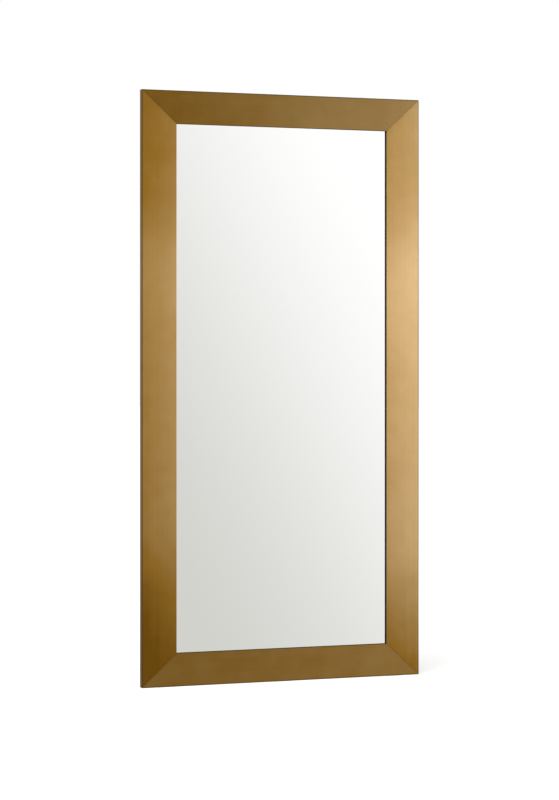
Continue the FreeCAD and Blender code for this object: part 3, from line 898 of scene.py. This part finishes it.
def folded_sheet(name, outward, along, face, neighbour_face, sight_distance, sight_length):
    """One side's sheet, with its grain coordinates and its distances to the folds and the mitres."""
    section = sheet_section(face)
    count = len(section)
    slant = neighbour_face / face
    squareness = face / math.hypot(face, neighbour_face)
    least, most = RUBBED_AND_SHEEN[name]

    girth = [0.0]
    for point, following in zip(section, section[1:] + section[:1]):
        girth.append(girth[-1] + (following - point).length)

    shape = bmesh.new()
    mitre_layer = shape.verts.layers.float.new("mitre_distance")
    fold_layer = shape.verts.layers.float.new("fold_distance")
    rubbed_and_sheen_layer = shape.verts.layers.float.new("rubbed_and_sheen")
    grain_layer = shape.loops.layers.uv.new("grain")
    across_layer = shape.loops.layers.uv.new("across")

    def ring(share, ease):
        """One turn of the section at a share of the run, with its skin drawn in by an ease."""
        made = []
        for i, point in enumerate(section):
            half_run = sight_length / 2 + point.x * slant
            run = share * (half_run - (0 if ease else EASE_LENGTH * (abs(share) == 1)))
            edge = (section[(i + 1) % count] - section[i - 1]).normalized()
            inward = Vector((-edge.y, edge.x)) * ease
            across, behind = point + inward
            place = frame_centre + outward * (sight_distance + across) + along * run
            vertex = shape.verts.new((place.x, face_y + behind, place.z))
            vertex[mitre_layer] = (half_run - abs(run)) * squareness
            vertex[fold_layer] = fold_distance(point, face)
            # The rubbing carries painted highlight and shade as well as patina
            if along.z:
                rub = upright_rub_and_sheen(place.z, SHADED_FOOT[name], SHADED_HEAD[name])
            else:
                rub = level_rub_and_sheen(place.x)
            to_right = outward.x * (2 * point.x / face - 1)
            vertex[rubbed_and_sheen_layer] = least + (most - least) * rub + RIGHTWARD_SHEEN * to_right
            made.append((vertex, run))
        return made

    rings = [ring(-1, EASE_DEPTH)] + [ring(share, 0) for share in run_stations()] + [ring(1, EASE_DEPTH)]
    for near, far in zip(rings, rings[1:]):
        for i in range(count):
            j = (i + 1) % count
            here, there = girth[i], girth[i + 1]
            corners = [(near[i], here), (near[j], there), (far[j], there), (far[i], here)]
            face_made = shape.faces.new([vertex for (vertex, _), _ in corners])
            face_made.smooth = True
            for loop, ((_, run), around) in zip(face_made.loops, corners):
                loop[grain_layer].uv = (run, around)
                loop[across_layer].uv = (around, run)
    for end in (rings[0], rings[-1]):
        cap = shape.faces.new([vertex for vertex, _ in end])
        bmesh.ops.triangulate(shape, faces=[cap])
    bmesh.ops.recalc_face_normals(shape, faces=shape.faces)

    sheet_mesh = mesh_from(shape, name)
    piece = finish_piece(sheet_mesh, name + "_sheet", "frame", brass, [name])
    piece.modifiers.new("even_normals", "WEIGHTED_NORMAL")
    print(f"{piece.name:26s} {len(sheet_mesh.polygons)} faces")


print("rings of points along a side:", STATIONS + 3)

# %% [markdown]
# Four calls then make the four sheets. Each says which way is outward, which way the sheet runs, how wide
# its face and its neighbours' faces are, and how far off and how long its sight edge is.

# %% Fold the four sheets
LEFT, RIGHT = Vector((-1, 0, 0)), Vector((1, 0, 0))
DOWN, UP = Vector((0, 0, -1)), Vector((0, 0, 1))
folded_sheet("brass_left_stile", LEFT, UP, stile_face, rail_face, sight_width / 2, sight_height)
folded_sheet("brass_right_stile", RIGHT, UP, stile_face, rail_face, sight_width / 2, sight_height)
folded_sheet("brass_top_rail", UP, RIGHT, rail_face, stile_face, sight_height / 2, sight_width)
folded_sheet("brass_bottom_rail", DOWN, RIGHT, rail_face, stile_face, sight_height / 2, sight_width)

# %% [markdown]
# ## Pieces on the back
#
# The wall side is seen whenever the mirror is carried, hung or turned, and it holds the small hardware:
# corner brackets, hangers, screws and bumpers. The construction model keeps them plain. Here each gets its
# eased edges and round forms, at the places and sizes that the model gives. Where one node of the model
# holds many like solids, such as a set of screws, the walk below finds the box of each.

# %% Find the separate solids of a node
SAME_PLACE = 0.001 * MM


def solid_boxes(name):
    """The lowest and highest corners of each separate solid in a node, lowest solid first."""
    shape = bmesh.new()
    shape.from_mesh(frame["nodes"][name].data)
    bmesh.ops.remove_doubles(shape, verts=shape.verts, dist=SAME_PLACE)
    unseen = set(shape.verts)
    boxes = []
    while unseen:
        waiting = [unseen.pop()]
        places = []
        while waiting:
            vertex = waiting.pop()
            places.append(vertex.co.copy())
            reached = {edge.other_vert(vertex) for edge in vertex.link_edges} & unseen
            unseen -= reached
            waiting += reached
        lowest = Vector([min(place[axis] for place in places) for axis in range(3)])
        highest = Vector([max(place[axis] for place in places) for axis in range(3)])
        boxes.append((lowest, highest))
    shape.free()
    return sorted(boxes, key=lambda box: (round(box[0].z, 4), round(box[0].x, 4)))


SCREW_SETS = {name: solid_boxes(name) for name in ("backing_screws", "bracket_screws", "hanger_screws")}
print("screws:", {name: len(boxes) for name, boxes in SCREW_SETS.items()})

# %% [markdown]
# Each piece ends the same way. Its mesh is closed, its faces are smooth, and its sharp edges are either
# kept sharp by their angle or eased by a small bevel. A real edge is never perfectly sharp, and the narrow
# strip of light along it is what makes a small metal piece look real.

# %% Finish a mesh into a piece
SHARP_ANGLE = math.radians(38)
EASED_STEPS = 2


def ease_edges(piece, width):
    """Adds a small bevel along every sharp edge."""
    eased = piece.modifiers.new("eased_edges", "BEVEL")
    eased.width = width
    eased.segments = EASED_STEPS
    eased.angle_limit = SHARP_ANGLE


def close_piece(shape, name, body, finish, replaced, bevel=0.0):
    """Turns a finished bmesh into a piece; a bevel, in metres, eases its edges."""
    bmesh.ops.recalc_face_normals(shape, faces=shape.faces)
    open_edges = sum(not edge.is_manifold for edge in shape.edges)
    piece_mesh = mesh_from(shape, name)
    piece_mesh.shade_smooth()
    if not bevel:
        piece_mesh.set_sharp_from_angle(angle=SHARP_ANGLE)
    piece = finish_piece(piece_mesh, name, body, finish, replaced)
    if bevel:
        ease_edges(piece, bevel)
        piece.modifiers.new("even_normals", "WEIGHTED_NORMAL")
    print(f"{name:38s} {len(piece_mesh.polygons):5d} faces, {open_edges} open edges")


def lathe(profile, sides):
    """A closed round shape about the Y axis, from (radius, depth) points that start and end on the axis."""
    shape = bmesh.new()
    rings = []
    for radius, depth in profile:
        turns = [2 * math.pi * i / sides for i in range(sides if radius else 1)]
        places = [(radius * math.sin(turn), depth, radius * math.cos(turn)) for turn in turns]
        rings.append([shape.verts.new(place) for place in places])
    for near, far in zip(rings, rings[1:]):
        for i in range(sides):
            j = i + 1
            corners = [near[i % len(near)], near[j % len(near)], far[j % len(far)], far[i % len(far)]]
            shape.faces.new(dict.fromkeys(corners))
    return shape


print("edges are kept sharp above", round(math.degrees(SHARP_ANGLE)), "degrees")

# %% [markdown]
# ### The screws
#
# All three sets are pan-head screws with a cross recess, of one diameter and three lengths. The head's
# dome is a curve between a circle and a square, turned on a lathe. The recess is cut with a Boolean, once
# for each set, and the cut screw is copied to every place with its own turn, because no two screws stop
# at the same angle.

# %% The outline of a screw and one arm of its cross
HEAD_HEIGHT = 2.2 * MM
SHANK_RADIUS = 1.75 * MM
POINT_LENGTH = 3.5 * MM
DOME_STEPS = 7
DOME_SQUARENESS = 0.62
SCREW_SIDES = 24
RECESS_DEPTH = 1.5 * MM
RECESS_OVERSHOOT = RECESS_DEPTH / 4
RECESS_TOP = (3.9 * MM, 0.95 * MM)
RECESS_FLOOR = (1.9 * MM, 0.6 * MM)


def screw_profile(head_radius, length):
    """The outline of a screw whose head rests on depth 0: its dome, its shank and its point."""
    quarter = [math.pi / 2 * i / DOME_STEPS for i in range(DOME_STEPS + 1)]
    dome = [
        (head_radius * math.sin(turn) ** DOME_SQUARENESS, HEAD_HEIGHT * math.cos(turn) ** DOME_SQUARENESS)
        for turn in quarter
    ]
    dome[0] = (0, HEAD_HEIGHT)
    dome[-1] = (head_radius, 0)
    return dome + [(SHANK_RADIUS, 0), (SHANK_RADIUS, POINT_LENGTH - length), (0, -length)]


def recess_arm():
    """One arm of the cross: a block that narrows towards the floor of the recess."""
    shape = bmesh.new()
    levels = ((HEAD_HEIGHT + RECESS_OVERSHOOT, RECESS_TOP), (HEAD_HEIGHT - RECESS_DEPTH, RECESS_FLOOR))
    for depth, (long, wide) in levels:
        for x, z in ((-1, -1), (1, -1), (1, 1), (-1, 1)):
            shape.verts.new((x * long / 2, depth, z * wide / 2))
    bmesh.ops.convex_hull(shape, input=shape.verts)
    return new_object("recess_arm", mesh_from(shape, "recess_arm"))


print(f"the cross is {RECESS_DEPTH / MM:.1f} mm deep in a head {HEAD_HEIGHT / MM:.1f} mm high")

# %% [markdown]
# The cross is cut by two arms at a right angle. Both are Boolean modifiers on a blank, and the evaluated
# mesh is what stays. The blank and the arms are then taken out of the scene, so only real pieces remain.

# %% Cut the cross into a screw
def cut_screw(head_radius, length):
    """The mesh of one screw, with its cross cut in."""
    shape = lathe(screw_profile(head_radius, length), SCREW_SIDES)
    bmesh.ops.recalc_face_normals(shape, faces=shape.faces)
    blank = new_object("screw_blank", mesh_from(shape, "screw_blank"))
    arms = [recess_arm(), recess_arm()]
    arms[1].rotation_euler.y = math.pi / 2
    for arm in arms:
        cross = blank.modifiers.new("cross", "BOOLEAN")
        cross.operation = "DIFFERENCE"
        cross.solver = "EXACT"
        cross.object = arm
    bpy.context.view_layer.update()
    cut = bpy.data.meshes.new_from_object(blank.evaluated_get(bpy.context.evaluated_depsgraph_get()))
    for thing in (blank, *arms):
        bpy.data.objects.remove(thing)
    return cut


print("screw cutter ready")

# %% [markdown]
# A set is one piece of many screws. The first screw's box gives the head, the seat and the length, and
# the others are copies of it, each at its own place and turned by a chance amount from a fixed seed.

# %% Place the three sets of screws
turning = random.Random(11)

for set_name, boxes in SCREW_SETS.items():
    lowest, highest = boxes[0]
    seat_depth = highest.y - HEAD_HEIGHT
    template = cut_screw((highest.x - lowest.x) / 2, seat_depth - lowest.y)
    shape = bmesh.new()
    for lowest, highest in boxes:
        seat = Vector(((lowest.x + highest.x) / 2, seat_depth, (lowest.z + highest.z) / 2))
        screw_mesh = template.copy()
        turn = Matrix.Rotation(turning.uniform(0, math.pi), 4, "Y")
        screw_mesh.transform(Matrix.Translation(seat) @ turn)
        shape.from_mesh(screw_mesh)
    close_piece(shape, set_name + "_cross_head", "frame", zinc, [set_name])

# %% [markdown]
# ### The D-rings
#
# A ring is one length of wire, bent to a D and closed. The path is drawn flat, as four rounded corners:
# two small ones at the bar that the strap holds, and two large ones that meet as the bow. A circle is then
# carried along it. A curve object with a bevel would do the same, but a mesh has its own even facets and
# exports as it is. Each ring rides on its own body, so it swings.

# %% Carry the wire along the D
RING_CORNER = 4 * MM
RING_STEPS = 12
WIRE_SIDES = 20
DOUBLE_POINT = 0.01 * MM


def ring_piece(side):
    """The wire ring of one hanger, at rest, hanging down."""
    low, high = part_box("hanger_ring_" + side)
    wire = (high.y - low.y) / 2
    half = (high.x - low.x) / 2 - wire
    reach = high.z - low.z - 2 * wire
    corners = [(-half, 0, RING_CORNER), (half, 0, RING_CORNER), (half, -reach, half), (-half, -reach, half)]
    path = rounded(corners, RING_STEPS)
    path = [point for i, point in enumerate(path) if (point - path[i - 1]).length > DOUBLE_POINT]
    centre = Vector(((low.x + high.x) / 2, (low.y + high.y) / 2, high.z - wire))
    shape = bmesh.new()
    rings = []
    for i, point in enumerate(path):
        arriving = (point - path[i - 1]).normalized()
        leaving = (path[(i + 1) % len(path)] - point).normalized()
        heading = (arriving + leaving).normalized()
        sideways = Vector((heading.y, 0, -heading.x))
        ring = []
        for k in range(WIRE_SIDES):
            turn = 2 * math.pi * k / WIRE_SIDES
            spoke = sideways * (wire * math.cos(turn)) + Vector((0, wire * math.sin(turn), 0))
            ring.append(shape.verts.new(centre + Vector((point.x, 0, point.y)) + spoke))
        rings.append(ring)
    for i, ring in enumerate(rings):
        following = rings[(i + 1) % len(rings)]
        for k in range(WIRE_SIDES):
            m = (k + 1) % WIRE_SIDES
            shape.faces.new((ring[k], ring[m], following[m], following[k]))
    name = "hanger_ring_" + side
    close_piece(shape, name + "_wire", "ring_" + side, zinc, [name])


for side in ("left", "right"):
    ring_piece(side)

# %% [markdown]
# ### Stamped plates
#
# The straps, the corner brackets and the foot pads are all cut from strip. A stamped piece starts as a
# flat outline with holes, so that is how it is made here: the outline is filled, given its thickness, and
# later eased along every edge. Cutting holes out of a block with Booleans would leave messier faces.

# %% A flat plate with holes
HOLE_RADIUS = 1.85 * MM
HOLE_SIDES = 24
STAMPED_BEVEL = 0.25 * MM


def circle(x, z, radius, sides):
    """Points round a hole."""
    turns = [2 * math.pi * i / sides for i in range(sides)]
    return [(x + radius * math.cos(turn), z + radius * math.sin(turn)) for turn in turns]


def flat_plate(loops, thickness):
    """A plate from its outline and the loops of its holes, in X and Z, that grows back from Y = 0."""
    shape = bmesh.new()
    for loop in loops:
        ring = [shape.verts.new((x, 0, z)) for x, z in loop]
        for i, vertex in enumerate(ring):
            shape.edges.new((ring[i - 1], vertex))
    bmesh.ops.triangle_fill(shape, use_beauty=True, edges=shape.edges[:])
    grown = bmesh.ops.extrude_face_region(shape, geom=shape.faces[:])["geom"]
    raised = [part for part in grown if isinstance(part, bmesh.types.BMVert)]
    bmesh.ops.translate(shape, verts=raised, vec=(0, thickness, 0))
    return shape


def holes_within(low, high, set_name):
    """The middle of each screw of a set that lies inside a box, seen from behind."""
    middles = [((a.x + b.x) / 2, (a.z + b.z) / 2) for a, b in SCREW_SETS[set_name]]
    return [(x, z) for x, z in middles if low.x < x < high.x and low.z < z < high.z]


print("plate helpers ready")

# %% [markdown]
# ### The hanger straps
#
# A strap starts flat and as long as the leaf and the curl together. Its top is cut into narrow strips,
# because a flat face can't follow a curl, and every point above the leaf is then wound round the ring's
# bar. The joint in the record says where that bar is, so the ring turns in the curl without touching.

# %% The hanger straps
STRAP_THICKNESS = 1.6 * MM
STRAP_END_RADIUS = 8 * MM
STRAP_END_STEPS = 8
STRAP_CURL = math.radians(285)
STRAP_CURL_STEPS = 28


def strap_piece(side):
    """A strap whose top is curled round the ring's bar."""
    name = "hanger_strap_" + side
    low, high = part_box(name)
    joint = next(joint for joint in frame["joints"] if joint["child"] == "ring_" + side)
    axis = Vector(joint["pos_m"])
    curl_radius = axis.y - low.y
    middle_radius = curl_radius - STRAP_THICKNESS / 2
    leaf = axis.z - low.z
    length = leaf + middle_radius * STRAP_CURL
    half = (high.x - low.x) / 2
    end = STRAP_END_RADIUS
    corners = [(-half, 0, end), (half, 0, end), (half, length, 0), (-half, length, 0)]
    loops = [rounded(corners, STRAP_END_STEPS)]
    for x, z in holes_within(low, high, "hanger_screws"):
        loops.append(circle(x - axis.x, z - low.z, HOLE_RADIUS, HOLE_SIDES))
    shape = flat_plate(loops, STRAP_THICKNESS)
    for i in range(STRAP_CURL_STEPS):
        level = (0, 0, leaf + (length - leaf) * i / STRAP_CURL_STEPS)
        everything = shape.verts[:] + shape.edges[:] + shape.faces[:]
        bmesh.ops.bisect_plane(shape, geom=everything, plane_co=level, plane_no=(0, 0, 1))
    for vertex in shape.verts:
        x, depth, height = vertex.co
        turn = max(0.0, height - leaf) / middle_radius
        radius = curl_radius - depth
        vertex.co.x = axis.x + x
        vertex.co.y = axis.y - radius * math.cos(turn)
        vertex.co.z = low.z + min(height, leaf) + radius * math.sin(turn)
    close_piece(shape, name + "_strip", "frame", zinc, [name], STAMPED_BEVEL)


for side in ("left", "right"):
    strap_piece(side)

# %% [markdown]
# ### The corner brackets
#
# A bracket is a flat L with four screw holes, one for each back corner. The same L serves all four: it is
# drawn from the elbow inwards, and two signs mirror it to the left or right and to the top or bottom.

# %% The corner brackets
BRACKET_WIDTH = 18 * MM
BRACKET_CORNER_RADIUS = 3 * MM
BRACKET_CORNER_STEPS = 5


def bracket_piece(corner):
    """The L of one corner, from its elbow inwards."""
    name = "corner_bracket_" + corner
    low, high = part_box(name)
    side = -1 if "left" in corner else 1
    level = 1 if "top" in corner else -1
    elbow_x = low.x if side < 0 else high.x
    elbow_z = high.z if level > 0 else low.z
    leg = high.x - low.x
    wide = BRACKET_WIDTH
    shape_of_l = [(0, 0), (leg, 0), (leg, wide), (wide, wide), (wide, leg), (0, leg)]
    corners = [(elbow_x - side * u, elbow_z - level * v, BRACKET_CORNER_RADIUS) for u, v in shape_of_l]
    loops = [rounded(corners, BRACKET_CORNER_STEPS)]
    for x, z in holes_within(low, high, "bracket_screws"):
        loops.append(circle(x, z, HOLE_RADIUS, HOLE_SIDES))
    shape = flat_plate(loops, high.y - low.y)
    bmesh.ops.translate(shape, verts=shape.verts, vec=(0, low.y, 0))
    close_piece(shape, name + "_plate", "frame", zinc, [name], STAMPED_BEVEL)


corner_names = ["top_left", "top_right", "bottom_left", "bottom_right"]
for corner in corner_names:
    bracket_piece(corner)

# %% [markdown]
# ### The bumpers
#
# A wall bumper is a moulded rubber button, a little narrower at its tip, with a soft rim and a shallow
# dish where it meets the wall. It is round all through, so it is turned on the same lathe as the screws.

# %% Turn the bumpers
BUMPER_SIDES = 64
BUMPER_TIP = 0.82
BUMPER_RIM = 1.1 * MM
BUMPER_DISH = 0.7 * MM
RIM_STEPS = 6
DISH_STEPS = 5
DISH_INSET = 2.2 * BUMPER_RIM
FLANGE = 0.8 * MM
FLANGE_EASE = 0.25 * MM


def bumper_profile(radius, height):
    """From the middle of the seat, out along its flange, up the taper, over the rim and into the dish."""
    tip = radius * BUMPER_TIP
    profile = [(0, 0), (radius, 0), (radius, FLANGE), (radius - FLANGE_EASE, FLANGE + FLANGE_EASE)]
    for i in range(RIM_STEPS + 1):
        turn = math.pi / 2 * i / RIM_STEPS
        inset, drop = BUMPER_RIM * (1 - math.cos(turn)), BUMPER_RIM * (1 - math.sin(turn))
        profile.append((tip - inset, height - drop))
    dish = tip - DISH_INSET
    for i in range(DISH_STEPS + 1):
        share = i / DISH_STEPS
        profile.append((dish * (1 - share), height - BUMPER_DISH * math.sin(math.pi / 2 * share)))
    return profile


for corner in corner_names:
    name = "wall_bumper_" + corner
    low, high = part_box(name)
    shape = lathe(bumper_profile((high.x - low.x) / 2, high.y - low.y), BUMPER_SIDES)
    seat = Vector(((low.x + high.x) / 2, low.y, (low.z + high.z) / 2))
    bmesh.ops.translate(shape, verts=shape.verts, vec=seat)
    close_piece(shape, name + "_button", "frame", rubber, [name])

# %% [markdown]
# ### The foot pads
#
# A foot pad is a thin strip of nylon with round corners, which lets the mirror slide on a floor without a
# scratch. It is made as a flat plate, like the brackets, and then laid down under the bottom rail.

# %% Cut the foot pads
PAD_CORNER = 5 * MM
PAD_CORNER_STEPS = 8
PAD_BEVEL = 0.35 * MM

for place in ("left", "centre", "right"):
    name = "foot_pad_" + place
    low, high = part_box(name)
    outline = [(low.x, low.y), (high.x, low.y), (high.x, high.y), (low.x, high.y)]
    corners = [(x, y, PAD_CORNER) for x, y in outline]
    shape = flat_plate([rounded(corners, PAD_CORNER_STEPS)], high.z - low.z)
    for vertex in shape.verts:
        x, thickness, y = vertex.co
        vertex.co = (x, y, low.z + thickness)
    close_piece(shape, name + "_strip", "frame", nylon, [name], PAD_BEVEL)

# %% [markdown]
# ## Finishes for the pieces that keep their shape
#
# Many pieces of the construction model are already right. They only change their finish, which is put in
# the slots of the node's own object. The cores and the backing board also get eased edges. A modifier
# does that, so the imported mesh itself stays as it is.

# %% Dress the carried-over nodes
CORE_EASE = 0.5 * MM
BOARD_EASE = 0.3 * MM


def dress(names, finish):
    """Gives each of these nodes a finish in place of the plain one that it came with."""
    for name in names:
        for material_slot in frame["nodes"][name].material_slots:
            material_slot.material = finish
    print(f"{finish.name:22s} on {', '.join(names)}")


def ease(names, width):
    """Eases the sharp edges of nodes that keep their shape, once their split vertices are joined."""
    for name in names:
        joined = frame["nodes"][name].modifiers.new("joined", "WELD")
        joined.merge_threshold = SAME_PLACE
        ease_edges(frame["nodes"][name], width)
    print(f"edges eased by {width / MM:.1f} mm on {', '.join(names)}")


stile_cores = ["core_left_stile", "core_right_stile"]
rail_cores = ["core_top_rail", "core_bottom_rail"]
ease(stile_cores + rail_cores, CORE_EASE)
ease(["backing_board"], BOARD_EASE)

dress(stile_cores, black_upright)
dress(rail_cores, black_level)
dress(["mirror_glass"], mirror)
dress(["glazing_tape_" + side for side in ("left", "right", "top", "bottom")], tape)
dress(["setting_blocks"], rubber)
dress(["backing_board"], hardboard)
dress(["mitre_tenon_" + corner for corner in corner_names], beech)

# %% [markdown]
# ## The colour view
#
# The Standard view shows each colour as it was mixed.

# %% Close the lesson
bpy.context.scene.view_settings.view_transform = "Standard"
